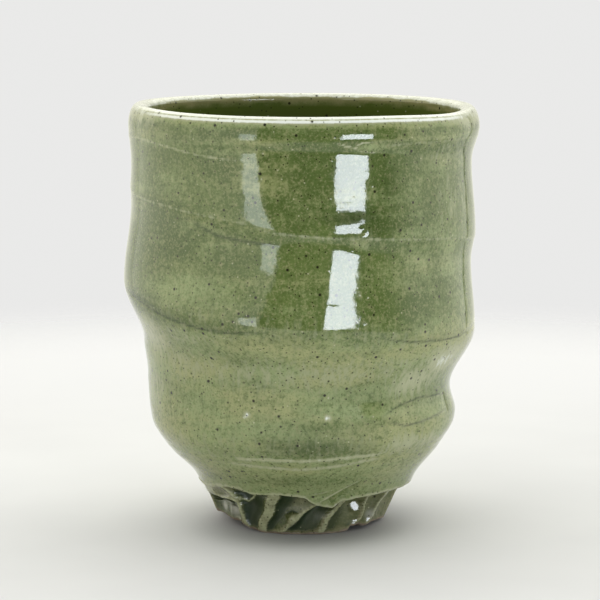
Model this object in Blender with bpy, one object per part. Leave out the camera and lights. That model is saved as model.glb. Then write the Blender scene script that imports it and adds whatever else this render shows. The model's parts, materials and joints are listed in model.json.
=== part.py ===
"""Matcha cup: a wheel-thrown stoneware body on a gouged foot, glazed inside and out.

It is built up as the potter builds it: a body thrown in one with its floor, a pad of clay luted under
the floor and gouged into leaning flutes, a liner glaze poured inside, an outer glaze that laps over the
lip and meets the liner, and the glaze that ran into the flutes.

Frame: metres, +Z up. The origin lies on the table under the middle of the foot, and -Y is the front.
Angles run anticlockwise from +X, seen from above.
"""

import math

import bmesh
import bpy

MM = 0.001
FRONT = -math.pi / 2.0

# The whole cup, measured on the finished surfaces
CUP_HEIGHT = 100.0 * MM
LIP_WALL = 4.6 * MM
BASE_WALL = 5.4 * MM
FLOOR_HEIGHT = 15.5 * MM
SEAT_GAP = 0.3 * MM

# The lip: a rounded edge, its widest line, and the neck under it, which is tilted up at the front. Each
# is thrown a little off centre, towards +X where its shift is above zero.
LIP_ROUND = 4.0 * MM
LIP_RADIUS = 41.85 * MM
LIP_SHIFT = 0.43 * MM
NECK_DROP = 13.2 * MM
NECK_RADIUS = 40.65 * MM
NECK_SHIFT = -0.2 * MM
NECK_TILT = 4.5 * MM
NECK_BLEND = 7.0 * MM

# The throwing ridge: one swelling that winds down the wall from the neck to the belly. It starts at +X
# and passes the back, -X and the front once in each turn. A row gives the turn, then the height and the
# radius of the ridge's crest, and of the hollow under that crest.
RIDGE_PITCH = 22.3 * MM
RIDGE = (
    (0.0, 92.6 * MM, 40.9 * MM, 86.3 * MM, 40.5 * MM),
    (0.5, 81.5 * MM, 41.05 * MM, 76.8 * MM, 40.9 * MM),
    (1.0, 70.6 * MM, 41.35 * MM, 63.0 * MM, 40.3 * MM),
    (1.5, 59.0 * MM, 42.65 * MM, 44.7 * MM, 38.15 * MM),
    (2.0, 46.6 * MM, 41.45 * MM, 33.0 * MM, 35.5 * MM),
    (2.5, 36.0 * MM, 37.25 * MM, 31.0 * MM, 37.0 * MM),
    (3.0, 26.2 * MM, 37.0 * MM, 20.0 * MM, 36.9 * MM),
)

# The belly, where the wall turns in towards the foot
BELLY_HEIGHT = 25.8 * MM
BELLY_RADIUS = 36.9 * MM
BELLY_BLEND = 4.0 * MM

# The bowl: the inside floor, which curves up into the wall. A lower squareness is a flatter floor.
BOWL_RISE = 19.0 * MM
BOWL_SQUARENESS = 0.75

# The glaze coats
GLAZE = 0.7 * MM
GLAZE_LAP = 5.0 * MM

# The gouged foot: a bare ring at the table, and flutes above it that carry glaze
FOOT_HEIGHT = 10.0 * MM
FOOT_BASE_RADIUS = 20.6 * MM
FOOT_TOP_RADIUS = 25.0 * MM
FOOT_EDGE = 0.9 * MM
BARE_FOOT = 1.7 * MM
RECESS_RADIUS = 14.0 * MM
RECESS_DEPTH = 5.0 * MM
RECESS_DRAFT = 1.2 * MM

# The ankle that the belly turns in to, which stands out over the foot and lies a little towards +X
ANKLE_OVERHANG = 1.0 * MM
ANKLE_RADIUS = FOOT_TOP_RADIUS + ANKLE_OVERHANG
ANKLE_HEIGHT = 7.8 * MM
ANKLE_SHIFT = 0.6 * MM

# The flutes, cut by hand with a round-nosed gouge, so no two are alike. They meet in sharp ridges and run
# out near the table. A row gives a ridge's angle from the front at half the foot's height, to the right
# as seen from the front, and how far round it leans from the table to the body, both in degrees.
GOUGE_RADIUS = 4.6 * MM
FLUTE_RUN_OUT = 4.0 * MM
FLUTE_LEFT_AT_TABLE = 0.3
FLUTE_RIDGES = (
    (-72.0, 6.0),
    (-43.0, -4.0),
    (-26.0, 14.0),
    (-1.0, 12.0),
    (15.0, 10.0),
    (39.0, 5.0),
    (55.0, 2.0),
    (80.0, 6.0),
    (103.0, 9.0),
    (127.0, 12.0),
    (150.0, 10.0),
    (172.0, 11.0),
    (197.0, 9.0),
    (222.0, 12.0),
    (246.0, 10.0),
    (266.0, 8.0),
)

# How finely the surfaces are divided
SIDES = 36
SIDES_PER_FLUTE = 6
WALL_ROWS = 24
LIP_ROWS = 5
LAP_ROWS = 2
INNER_ROWS = 12
BOWL_ROWS = 6
FOOT_ROWS = 5

# Colours, roughness and metallic value
CLAY = (0.46, 0.37, 0.26, 1.0)
FOOT_CLAY = (0.36, 0.29, 0.20, 1.0)
GLAZE_GREEN = (0.24, 0.30, 0.13, 1.0)
LINER_GREEN = (0.16, 0.21, 0.07, 1.0)
FOOT_GREEN = (0.22, 0.25, 0.13, 1.0)


def mix(a, b, share):
    return a + (b - a) * share


def ease(low, high, value):
    """0 at low, 1 at high, and level at both ends."""
    share = min(1.0, max(0.0, (value - low) / (high - low)))
    return share * share * (3.0 - 2.0 * share)


def ridge_row(turn):
    """The ridge's crest and hollow at any turn: a curve through RIDGE, run on at its pitch past both ends."""
    first, last = RIDGE[0], RIDGE[-1]
    held = min(last[0], max(first[0], turn))
    step = RIDGE[1][0] - first[0]
    index = min(len(RIDGE) - 2, int((held - first[0]) / step))
    share = (held - RIDGE[index][0]) / step
    rows = [RIDGE[min(len(RIDGE) - 1, max(0, index + k))] for k in (-1, 0, 1, 2)]
    row = [catmull_rom(column, share) for column in zip(*(r[1:] for r in rows))]
    run_on = (held - turn) * RIDGE_PITCH
    return (row[0] + run_on, row[1]), (row[2] + run_on, row[3])


def catmull_rom(values, share):
    """The curve through four evenly spaced values, between the middle two."""
    a, b, c, d = values
    slope = (c - a) / 2.0
    bend = a - 2.5 * b + 2.0 * c - 0.5 * d
    twist = 1.5 * (b - c) + 0.5 * (d - a)
    return b + share * (slope + share * (bend + share * twist))


def ridge_radius(angle, height):
    """Radius of the ridged wall, which eases from each crest to the hollow under it, and on to the next."""
    turns_needed = math.ceil(CUP_HEIGHT / RIDGE_PITCH) + 2
    first_turn = angle / math.tau - 2.0
    points = [point for k in range(turns_needed + 2) for point in ridge_row(first_turn + k)]
    for upper, lower in zip(points, points[1:]):
        if height >= lower[0]:
            return mix(lower[1], upper[1], ease(lower[0], upper[0], height))
    return points[-1][1]


def neck_height(angle):
    return CUP_HEIGHT - NECK_DROP - NECK_TILT * math.sin(angle)


def belly_radius(angle, height):
    """Radius of the wall where it turns in from the belly to the ankle."""
    up = ease(ANKLE_HEIGHT, BELLY_HEIGHT, height)
    return mix(ANKLE_RADIUS, BELLY_RADIUS, up) + mix(ANKLE_SHIFT, 0.0, up) * math.cos(angle)


def lip_radius(angle, height):
    """Radius of the lip and of the neck under it."""
    up = ease(neck_height(angle), CUP_HEIGHT - LIP_ROUND, height)
    return mix(NECK_RADIUS, LIP_RADIUS, up) + mix(NECK_SHIFT, LIP_SHIFT, up) * math.cos(angle)


def wall_radius(angle, height):
    """Outside radius of the finished wall."""
    above_belly = ease(BELLY_HEIGHT - BELLY_BLEND, BELLY_HEIGHT + BELLY_BLEND, height)
    above_neck = ease(neck_height(angle) - NECK_BLEND, neck_height(angle), height)
    below_neck = mix(belly_radius(angle, height), ridge_radius(angle, height), above_belly)
    return mix(below_neck, lip_radius(angle, height), above_neck)


def wall_thickness(height):
    return mix(BASE_WALL, LIP_WALL, ease(FLOOR_HEIGHT, CUP_HEIGHT - LIP_ROUND, height))


def evenly(first, last, count):
    return [mix(first, last, k / (count - 1)) for k in range(count)]


def inside_radius(angle, height):
    return wall_radius(angle, height) - wall_thickness(height)


def coat_meridian(angle):
    """(radius, height) down the outer coat's finished face: up the wall, over the lip and down the lap."""
    spring = CUP_HEIGHT - LIP_ROUND
    outside = [(wall_radius(angle, z), z) for z in evenly(FOOT_HEIGHT + SEAT_GAP, spring, WALL_ROWS)]
    half_wall = wall_thickness(spring) / 2.0
    middle = wall_radius(angle, spring) - half_wall
    arc = [math.pi * k / (LIP_ROWS + 1) for k in range(1, LIP_ROWS + 1)]
    lip = [(middle + half_wall * math.cos(a), spring + LIP_ROUND * math.sin(a)) for a in arc]
    lap = [(inside_radius(angle, z), z) for z in evenly(spring, spring - GLAZE_LAP, LAP_ROWS)]
    return outside + lip + lap


def liner_meridian(angle):
    """(radius, height) down the liner's finished face, from the lap to the middle of the floor."""
    top = CUP_HEIGHT - LIP_ROUND - GLAZE_LAP - SEAT_GAP
    bowl_top = FLOOR_HEIGHT + BOWL_RISE
    wall = [(inside_radius(angle, z), z) for z in evenly(top, bowl_top, INNER_ROWS)]
    rim = inside_radius(angle, bowl_top)
    bowl = []
    for k in range(1, BOWL_ROWS + 1):
        a = math.pi / 2.0 * k / BOWL_ROWS
        across = max(0.0, math.cos(a)) ** BOWL_SQUARENESS
        down = math.sin(a) ** BOWL_SQUARENESS
        bowl.append((rim * across, bowl_top - BOWL_RISE * down))
    bowl[-1] = (0.0, FLOOR_HEIGHT)
    return wall + bowl


def sunk(meridian, depth):
    """The meridian moved into the clay by depth, square to itself."""
    moved = []
    for k, (radius, height) in enumerate(meridian):
        before = meridian[max(0, k - 1)]
        after = meridian[min(len(meridian) - 1, k + 1)]
        along = (after[0] - before[0], after[1] - before[1])
        length = math.hypot(*along)
        on_axis = radius == 0.0
        inward = (0.0, -1.0) if on_axis else (-along[1] / length, along[0] / length)
        moved.append((radius + depth * inward[0], height + depth * inward[1]))
    return moved


def rings_of(meridian_of, depth):
    """One ring of points for each step along a meridian that is drawn at every side of the cup."""
    angles = [math.tau * k / SIDES for k in range(SIDES)]
    columns = [sunk(meridian_of(angle), depth) for angle in angles]
    return [[around(r, angle, z) for (r, z), angle in zip(row, angles)] for row in zip(*columns)]


def around(radius, angle, height):
    return (radius * math.cos(angle), radius * math.sin(angle), height)


def pole(height):
    """A ring that has shrunk to one point on the axis."""
    return [(0.0, 0.0, height)]


def loft(name, rings, material, closed=False):
    """A solid through rings of points. A closed one joins its last ring to its first, others end in poles."""
    shape = bmesh.new()
    loops = [[shape.verts.new(point) for point in ring] for ring in rings]
    pairs = list(zip(loops, loops[1:]))
    if closed:
        pairs.append((loops[-1], loops[0]))
    for lower, upper in pairs:
        count = max(len(lower), len(upper))
        for k in range(count):
            n = (k + 1) % count
            below = [lower[k % len(lower)], lower[n % len(lower)]]
            above = [upper[n % len(upper)], upper[k % len(upper)]]
            shape.faces.new(list(dict.fromkeys(below + above)))
    bmesh.ops.recalc_face_normals(shape, faces=shape.faces)
    mesh = bpy.data.meshes.new(name)
    shape.to_mesh(mesh)
    shape.free()
    mesh.shade_smooth()
    mesh.set_sharp_from_angle(angle=math.radians(40.0))
    mesh.materials.append(material)
    piece = bpy.data.objects.new(name, mesh)
    bpy.context.scene.collection.objects.link(piece)
    return piece


def finish(name, colour, roughness):
    material = bpy.data.materials.new(name)
    material.use_nodes = True
    shader = material.node_tree.nodes["Principled BSDF"]
    shader.inputs["Base Color"].default_value = colour
    shader.inputs["Roughness"].default_value = roughness
    shader.inputs["Metallic"].default_value = 0.0
    return material


def make_thrown_body():
    """The clay under both glaze coats, with a flat underside that the foot is luted to."""
    depth = GLAZE + SEAT_GAP
    outside = rings_of(coat_meridian, depth)
    inside = rings_of(liner_meridian, depth)
    seat = [(x, y, FOOT_HEIGHT) for x, y, _ in outside[0]]
    floor_middle = pole(FLOOR_HEIGHT - depth)
    rings = [pole(FOOT_HEIGHT), seat] + outside + inside[1:-1] + [floor_middle]
    return loft("thrown_body", rings, finish("stoneware", CLAY, 0.75))


def make_outer_glaze():
    face = rings_of(coat_meridian, 0.0)
    back = rings_of(coat_meridian, GLAZE)
    return loft("outer_glaze", face + back[::-1], finish("green_glaze", GLAZE_GREEN, 0.08), closed=True)


def make_liner_glaze():
    face = rings_of(liner_meridian, 0.0)
    back = rings_of(liner_meridian, GLAZE)
    rings = [pole(FLOOR_HEIGHT)] + face[-2::-1] + back[:-1] + [pole(FLOOR_HEIGHT - GLAZE)]
    return loft("liner_glaze", rings, finish("liner_glaze", LINER_GREEN, 0.08))


def ridge_angle(index, height):
    """Where a ridge between two flutes stands at a height. After the last comes the first, a turn on."""
    turns, row = divmod(index, len(FLUTE_RIDGES))
    angle, lean = FLUTE_RIDGES[row]
    from_middle = height / FOOT_HEIGHT - 0.5
    return FRONT + math.tau * turns + math.radians(angle + lean * from_middle)


def flutes_at(height):
    """(left ridge, right ridge) of each flute at a height, as angles."""
    ridges = [ridge_angle(index, height) for index in range(len(FLUTE_RIDGES) + 1)]
    return list(zip(ridges, ridges[1:]))


def flute_shares():
    return [k / SIDES_PER_FLUTE for k in range(SIDES_PER_FLUTE)]


def flute_ring(height, inset):
    """A ring round the foot: scoops that meet in ridges, each as deep as the gouge cuts at its width."""
    outline = mix(FOOT_BASE_RADIUS, FOOT_TOP_RADIUS, height / FOOT_HEIGHT)
    cut = mix(FLUTE_LEFT_AT_TABLE, 1.0, ease(0.0, FLUTE_RUN_OUT, height))
    ring = []
    for left, right in flutes_at(height):
        width = outline * (right - left)
        depth = cut * width * width / (8.0 * GOUGE_RADIUS)
        for share in flute_shares():
            scoop = depth * 4.0 * share * (1.0 - share)
            ring.append(around(outline - scoop - inset, mix(left, right, share), height))
    return ring


def recess_ring(radius, height):
    """A plain ring in the recess, with one point for each of the lowest flute ring's."""
    spans = flutes_at(0.0)
    return [around(radius, mix(a, b, share), height) for a, b in spans for share in flute_shares()]


def glazed_heights():
    """The rows of the flutes that carry glaze, from the body down to the bare ring."""
    return evenly(FOOT_HEIGHT - SEAT_GAP, BARE_FOOT + SEAT_GAP, FOOT_ROWS)


def make_carved_foot():
    """The pad under the floor: flutes set back under their glaze, a bare ring, and a recess beneath."""
    flutes = [flute_ring(z, GLAZE + SEAT_GAP) for z in glazed_heights() + [BARE_FOOT]]
    bare = [flute_ring(BARE_FOOT, 0.0), flute_ring(FOOT_EDGE, 0.0), flute_ring(0.0, FOOT_EDGE)]
    recess = [recess_ring(RECESS_RADIUS, 0.0), recess_ring(RECESS_RADIUS - RECESS_DRAFT, RECESS_DEPTH)]
    rings = [pole(FOOT_HEIGHT - SEAT_GAP)] + flutes + bare + recess + [pole(RECESS_DEPTH)]
    return loft("carved_foot", rings, finish("bare_foot", FOOT_CLAY, 0.8))


def make_foot_glaze():
    """The glaze that ran down into the flutes, standing on the bare ring's upper edge."""
    face = [flute_ring(z, 0.0) for z in glazed_heights()]
    back = [flute_ring(z, GLAZE) for z in glazed_heights()]
    return loft("foot_glaze", face + back[::-1], finish("flute_glaze", FOOT_GREEN, 0.12), closed=True)


def main():
    for old in list(bpy.data.objects):
        bpy.data.objects.remove(old)
    make_thrown_body()
    make_carved_foot()
    make_outer_glaze()
    make_liner_glaze()
    make_foot_glaze()


main()
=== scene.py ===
"""The look of the matcha cup: its glaze coats, gouged foot and bare clay, on a pale table in soft light.

Shapes are worked out in millimetres and turned into metres when a mesh is made. An angle called phi is in
degrees round the cup from its front, to the right as the camera sees it. Other angles are in radians,
anticlockwise from +X. A grid of points has a row for each height and a column for each angle.
"""

import json
import math

import bpy
import numpy as np
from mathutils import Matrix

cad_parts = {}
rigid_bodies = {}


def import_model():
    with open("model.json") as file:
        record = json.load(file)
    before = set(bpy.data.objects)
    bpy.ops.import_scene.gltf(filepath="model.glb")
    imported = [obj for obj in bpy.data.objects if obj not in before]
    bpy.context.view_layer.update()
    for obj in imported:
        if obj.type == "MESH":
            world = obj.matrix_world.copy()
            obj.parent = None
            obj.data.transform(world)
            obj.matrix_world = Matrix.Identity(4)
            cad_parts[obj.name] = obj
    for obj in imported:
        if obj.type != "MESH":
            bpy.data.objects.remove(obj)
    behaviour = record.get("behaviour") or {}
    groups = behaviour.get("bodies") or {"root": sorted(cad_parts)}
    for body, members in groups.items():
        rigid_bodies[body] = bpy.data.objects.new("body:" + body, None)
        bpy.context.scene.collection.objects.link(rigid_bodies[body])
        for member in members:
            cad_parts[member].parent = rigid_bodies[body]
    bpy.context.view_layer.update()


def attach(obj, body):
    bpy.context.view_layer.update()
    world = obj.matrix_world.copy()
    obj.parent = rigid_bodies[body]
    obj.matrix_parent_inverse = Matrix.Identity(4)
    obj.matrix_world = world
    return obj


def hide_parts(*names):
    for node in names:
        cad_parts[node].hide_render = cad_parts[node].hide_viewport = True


MM = 0.001
FRONT = -math.pi / 2.0
SEED = 11

# The whole cup, nearly all as in the solids
CUP_HEIGHT = 100.0
LIP_WALL = 4.6
BASE_WALL = 5.4
FLOOR_HEIGHT = 15.5
LIP_ROUND = 4.0
LIP_SPRING = 95.0
LIP_INNER_ROUND = 1.4
LIP_RADIUS = 41.85
LIP_SHIFT = 0.43
NECK_DROP = 13.2
NECK_RADIUS = 40.65
NECK_SHIFT = -0.2
NECK_TILT = 4.5
NECK_BLEND = 7.0
SPIRAL_PITCH = 22.3
SPIRAL_STEP = 0.5
SPIRAL_TURNS = 9
SPIRAL = np.array((  # crest height and radius, hollow height and radius
    (92.6, 40.9, 86.3, 40.5),
    (81.5, 41.05, 76.8, 40.9),
    (70.6, 41.35, 63.0, 40.3),
    (59.0, 42.65, 44.7, 38.15),
    (46.6, 41.45, 33.0, 35.5),
    (36.0, 37.25, 31.0, 37.0),
    (26.2, 37.0, 20.0, 36.9),
))
BELLY_HEIGHT = 25.8
BELLY_RADIUS = 36.9
BELLY_BLEND = 4.0
ANKLE_HEIGHT = 7.8
ANKLE_RADIUS = 26.0
ANKLE_SHIFT = 0.6
BOWL_RISE = 19.0
BOWL_SQUARENESS = 0.75
GLAZE = 0.7
GLAZE_LAP = 5.0
FOOT_HEIGHT = 10.0
FOOT_BASE_RADIUS = 20.6
FOOT_TOP_RADIUS = 25.0
RECESS_RADIUS = 14.0
RECESS_DEPTH = 5.0
RECESS_DRAFT = 1.2
FOOT_EDGE = 0.5
RECESS_WAVE = 0.2
RECESS_WAVE_TURN = 2.4

# The clay behind the coats, with a step out to the bare edge under the foot's glaze
FOOT_CLAY_TOP = 8.5
FOOT_CLAY_SET_BACK = 0.8
BARE_SET_BACK = 0.1
STEP_CLEAR = 0.6
STEP_TOP = 0.15
STEP_BOTTOM = 0.1
CLAY_SET_BACK = 1.1
CLAY_BOTTOM = 12.5
CLAY_DRAWN_IN = 3.0
CLAY_DRAWN_IN_BELOW = 16.0

# Lines left in the wall by the fingers and in trimming: the relief, its spread below and above, how far the
# glaze breaks pale on it or, below zero, darkens along it, and the line as (phi, height), with phi beyond
# 180 where it winds on. A line fades over some degrees at its ends, and all relief comes in above the foot.
UNDER_BULGE = ((-84, 57.5), (-64, 55.7), (-48, 53.2), (-39.3, 52.2), (-33, 51.6), (-24.5, 51.2))
UPPER_SCORE = ((-26, 20.5), (-12, 20.8), (0, 20.6), (19, 21.3))
LOWER_SCORE = ((-30, 19), (-20, 18.7), (-1, 18.2), (11, 18.8), (20, 19.6))
LINES = (
    (0.1, 0.35, 0.7, 0.38, (
        (-200, 89.5), (-120, 91.6), (-67.8, 93.1), (-58.3, 92.9), (-47.3, 92.1), (-36.5, 91), (-26.3, 90.4),
        (-14, 89.8),
    )),
    (0.05, 0.4, 0.8, 0.27, (
        (20, 92.6), (28, 93.4), (38, 93.7), (65, 94), (85, 93), (130, 90.5), (180, 88.6),
    )),
    (0.06, 0.25, 0.25, 0.6, ((9.5, 94.7), (14.3, 93.4), (16.9, 93.1), (18.6, 94.2), (24, 94.4))),
    (0.05, 0.25, 0.25, 0.5, ((16, 93.1), (19, 92.2), (25.5, 91.8))),
    (0.09, 0.4, 1.5, 0.3, (
        (-270, 90.5), (-180, 85.5), (-90, 80.6), (-69, 79.6), (-49.8, 78.7), (-38.2, 77.7), (-28.6, 77),
        (-18, 75.9), (-10, 74.1), (10, 72.9), (25, 72.3), (51, 71), (80, 69.1), (126, 66.5), (180, 63.5),
        (270, 57.5),
    )),
    (-0.06, 0.3, 0.3, -0.7, (
        (-41, 76.8), (-37.9, 75.9), (-32.5, 74.1), (-28.8, 72.9), (-23, 72.2), (-16, 71.7), (-3, 71),
    )),
    # These two lines are painted shade under the left bulge, where the wall turns under
    (-0.14, 0.4, 1.7, -0.26, UNDER_BULGE + ((-15, 51.6),)),
    (0, 0.22, 0.24, -0.85, UNDER_BULGE + ((-8, 51.8),)),
    (-0.12, 0.5, 0.8, -0.14, ((20, 49.8), (29, 49), (43, 48), (67, 47.7), (84, 48.3))),
    (0, 0.22, 0.24, -0.8, (
        (20, 51.6), (23.5, 51), (28.7, 49.1), (37, 48.1), (49, 47.6), (61, 47.4), (72, 48),
    )),
    (0, 0.24, 0.24, -0.75, ((27, 29.8), (37.5, 32.5), (48, 33.5), (67, 32.8), (76, 31.8))),
    (0, 0.24, 0.24, -0.75, ((27, 30.2), (40.5, 27.6), (52.4, 28.2), (70, 29.2))),
    (0.04, 0.25, 0.25, 0.6, ((4, 7.6), (6, 8.1), (25.5, 13.9), (29, 14.6))),
    (-0.08, 0.5, 0.4, 0.2, ((-190, 21), (-90, 20.6)) + UPPER_SCORE + ((36, 21.6), (170, 21))),
    (0, 0.5, 0.4, 0.6, ((-33, 20.5),) + UPPER_SCORE + ((38, 21.6),)),
    (-0.08, 0.45, 0.4, 0.2, (
        ((-180, 18.6), (-60, 18.4)) + LOWER_SCORE + ((31, 20.5), (60, 20.2), (180, 18.6))
    )),
    (0, 0.45, 0.4, 0.55, ((-38, 19.3),) + LOWER_SCORE + ((36, 20.8),)),
)
LINE_FADE = 12.0
RELIEF_FROM = (6.0, 16.0)

# How pale the lip is at the front and the sides: (degrees round its section from the outside up, paleness),
# and the degrees round the cup over which one turns into the other. The two pale bands at the front, with a
# dip between them, are painted highlight lines on the cream glaze.
LIP_PALENESS_AND_HIGHLIGHTS = ((0, 0), (34, 0.05), (44, 0.3), (48, 1), (57, 1), (62, 0.5), (67, 1), (90, 1))
LIP_SIDE_PALENESS = ((0, 0.1), (20, 0.32), (45, 0.6), (65, 0.74), (90, 0.8))
LIP_SIDES = (42.0, 75.0)
LIP_SPARSE_FROM = (96.8, 98.6)

# How far the lip stands above its level: (phi, spread in degrees, rise)
LIP_LEVELS = ((-88, 42, 0.5), (60, 22, -0.55))
LIP_LEVEL_FROM = (86.0, 98.0)

# The cream inside the lip ends at a line with waves of (size, waves round, phase). Bands of cream, brown and
# deep green are measured up from that line.
CREAM_END_BACK = 98.8
CREAM_END_FRONT = 97.9
CREAM_TURN = (130.0, 100.0)
CREAM_WAVES = ((0.12, 7, 1), (0.09, 17, 2), (0.08, 41, 0))
CREAM_BAND = (0.0, 0.6)
CREAM_PALENESS = 0.84
CREAM_SIDE_PALENESS = 0.78
CREAM_SIDE_FRONT = (45.0, 70.0)
CREAM_SIDE_BACK = (150.0, 115.0)
BROWN_BAND = (-1.4, -0.7)
BROWN_DEPTH = 0.8
DEEP_BAND = (-0.6, -1.8)

# The inside of the wall: faint rings, and a run that is evened out towards the lip
INNER_RING_SIZE = 0.06
INNER_RING_PITCH = 7.3
INSIDE_EVEN_FROM = (70.0, 80.0)
INSIDE_EVEN_OVER = (-12, -8, -4, 0, 4, 8, 12)
INSIDE_LIP_REACH = 14.0

# Blisters and pits in the glaze: (phi, height, radius, relief)
BLISTERS = (
    (4, 88.5, 0.6, 0.1),
    (7, 87, 0.5, 0.08),
    (21.7, 86.7, 0.5, 0.08),
    (20.8, 53.3, 0.5, 0.1),
    (8.8, 31.1, 0.7, 0.14),
    (-20, 31.5, 0.7, -0.22),
    (10, 58.4, 0.5, -0.08),
    (12.6, 89.6, 0.5, -0.08),
)

# Small ones all over the wall: how many, and the ranges of their phi, height, radius and relief
SMALL_BLISTERS = 90
SMALL_RANGES = ((-180, 180), (14, 96), (0.3, 0.6), (-0.05, 0.07))

# A ring-shaped one: (phi, height, radius, width, relief). Pale ones: (phi, height, radius)
RING_BLISTER = (19.7, 73.9, 1.15, 0.35, 0.16)
PALE_BLISTERS = ((8.8, 31.1, 0.75), (-20, 31.5, 0.7))

# Slow waves that the hands leave in the wall: (size, waves round, waves in the cup's height, phase)
WAVES = (
    (0.06, 3, 1.3, 0.4),
    (0.045, 5, 2.1, 2.2),
    (0.03, 8, 3.7, 4),
    (0.016, 13, 6.1, 1.1),
    (0.01, 21, 11, 5.2),
    (0.004, 34, 17, 0.7),
    (0.003, 2, 37, 2.9),
)
WAVE_SWING = 17.0

# The lower edge of the outer coat: round the front as (phi, height), and elsewhere a height with waves
EDGE_LINE = (
    (-80, 10.2), (-62, 10.2), (-52, 11.2), (-46, 11.6), (-39, 11.6), (-34, 11.5), (-26.7, 10.6), (-16, 10.9),
    (-6, 10.9), (1.3, 10.4), (6, 8.6), (11, 7.9), (15.5, 7.6), (20.5, 9.2), (35, 9.9), (44, 10.1),
    (56, 10.1), (85, 9.6),
)
EDGE_HEIGHT = 10.4
EDGE_WAVES = ((0.5, 9, 0.6), (0.35, 14, 0))
EDGE_LINE_FADE = (85.0, 70.0)
EDGE_RAGGED = 0.16

# The ridges of the gouged foot: the left edge in degrees at the heights below, the width, then the flute on
# the right: its depth, how lopsided it is, the height where it ends, and how dark it is painted along its
# left side and over the rest of it, as painted shade with pooled glaze
RIDGE_HEIGHTS = (0.0, 3.0, 6.0, 10.0)
RIDGES = (
    ((-78, -76, -74, -70), 2, 0.75, 0.8, 7.8, 0.4, 0),
    ((-38, -40, -40, -42), 1.8, 0.85, 0.6, 10.8, 1, 0.9),
    ((-31, -27.3, -22.7, -18.3), 6, 0.78, 0.55, 11.2, 1, 0.05),
    ((-14.5, -7.2, 0.6, 11.5), 2, 0.95, 0.7, 8.9, 1, 0.8),
    ((9.8, 13.2, 16.8, 24), 3, 0.85, 0.8, 9.6, 0.7, 0),
    ((30, 38.2, 38.9, 36.3), 1.5, 0.65, 1, 9.4, 0.3, 0),
    ((45, 49, 51.4, 53.8), 2, 0.9, 0.8, 9.2, 0.3, 0),
    ((76, 78, 80, 83), 2.5, 0.9, 0.7, 9.8, 0.8, 0.2),
    ((98, 100.5, 103, 107), 1.2, 1, 0.6, 9.4, 0.9, 0.3),
    ((121, 124, 127, 132), 3.5, 0.85, 0.8, 8.4, 0.7, 0.1),
    ((145, 147.5, 150, 154), 1.5, 0.95, 0.6, 9.9, 0.9, 0.3),
    ((166, 169, 172, 177), 2, 1.05, 0.7, 9.5, 0.8, 0.2),
    ((192, 194.5, 197, 201), 4, 0.9, 0.6, 8.7, 0.9, 0.3),
    ((216, 219, 222.5, 227), 1.2, 0.95, 0.8, 9.7, 0.7, 0.1),
    ((241, 243.5, 246, 250), 2.5, 0.9, 0.6, 9.3, 0.9, 0.2),
    ((262, 264, 266, 269), 1.5, 0.9, 0.8, 9.6, 0.7, 0.1),
)
FLUTE_LEFT_AT_TABLE = 0.25
FLUTE_END = 0.9
FLARE = 1.1
FLARE_FROM = (6.5, 10.5)
COAT_LAP = 0.3
COAT_CLEARANCE = 0.25
COAT_TUCK = 0.5

# How the gouge wandered: (degrees, waves round, turn with height), and how jagged it left the flutes' edges
WANDER = ((0.45, 7, 1.1), (0.14, 23, -1.6))
JAG = 0.4
JAG_SHARPNESS = 12

# Where a flute is painted dark, as shares of its width, and how strongly: painted shade with pooled glaze
SIDE_SHADE = (0.6, 0.2)
FLOOR_SHADE = (1.0, 0.75)
SHADE_START = (0.0, 0.025)
FLUTE_SHADE_AND_POOLING = 0.95

# Where the glaze is sparse and pale on the ridges, by the depth of the cut
RIDGE_SPARSE = (0.6, 0.1)
RIDGE_PALE = (0.35, 0.0)
RIDGE_PALENESS = 0.4
CRUMBLE = 0.16

# The bare edge at the table, and the rim of the glaze above it
BARE_FOOT = 0.55
BARE_RAGGED = 0.2
RIM_HEIGHT = 1.0
RIM_SPARSE = 0.6
RIM_DRAINED = 0.7

# A curl of clay that the gouge left standing: (phi, height, reach, relief)
CURL = (-5.6, 4.2, 1.4, 1.3)

# Where the edge of the foot is worn up from the table: (phi, lift)
WORN_EDGE = (
    (-110, 0.3), (-95, 1.6), (-80, 2.5), (-66, 2.3), (-57, 1.8), (-42, 1.4), (-35, 0.4), (-25, 0), (25, 0),
    (31, 0.3), (33, 1.4), (41, 1.5), (44, 0.8), (56, 1), (75, 0.5), (95, 0.2),
)

# Shorter cuts and dents: (phi, height, half length, half width, lean from upright, depth)
FOOT_CUTS = (
    (-37, 10, 4.4, 1.3, 100, 1.2),
    (-51, 9.3, 4, 1.5, 80, 0.8),
    (-49, 4.3, 3.6, 3.6, 0, 2.4),
    (136, 9.8, 4.2, 1.2, 80, 1.2),
    (206, 10.1, 4, 1.1, 100, 1.1),
)
WALL_CUTS = (
    (-24, 74.3, 11, 2.1, 102, 0.22),
    (47, 30.8, 11.6, 3.1, 84, 0.4),
)

# Flats sliced off the wall under an edge: its ends as (phi, height), then the reach and depth below it
FLATS = (
    ((6, 8), (25.5, 13.8), 3.6, 1.1),
    ((1, 10.6), (14.5, 11.9), 2.2, 0.5),
)
FLAT_PAST = 0.5
FLAT_FADE = 1.5
FLAT_BITE = 0.7
FLAT_RUN_OUT = 2.0
FLAT_EDGE_RISE = 0.05
FLAT_EDGE_SPREAD = 0.28
FLAT_EDGE_PALENESS = 0.45

# Broad swells of the wall: (phi, height, spread round in degrees, spread up, size)
SWELLS = (
    (12, 37.8, 42, 5.5, 0.7),
    (-21.3, 51.4, 29.1, 7.2, 1),
    (-23, 69, 10.5, 8.5, -0.91),
    (4, 52.4, 11, 20.2, 0.94),
    (9.8, 73.3, 14.2, 22, 0.58),
    (1.7, 75.2, 31.4, 2.6, 0.24),
    (17.9, 69.5, 22.6, 6.6, 0.45),
    (5, 97, 50, 4.2, -0.95),
    (20.6, 85.5, 38.5, 8.7, -0.25),
    (-92, 23, 40, 5, -0.75),
    (92, 21.5, 38, 4, -0.6),
)
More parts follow.
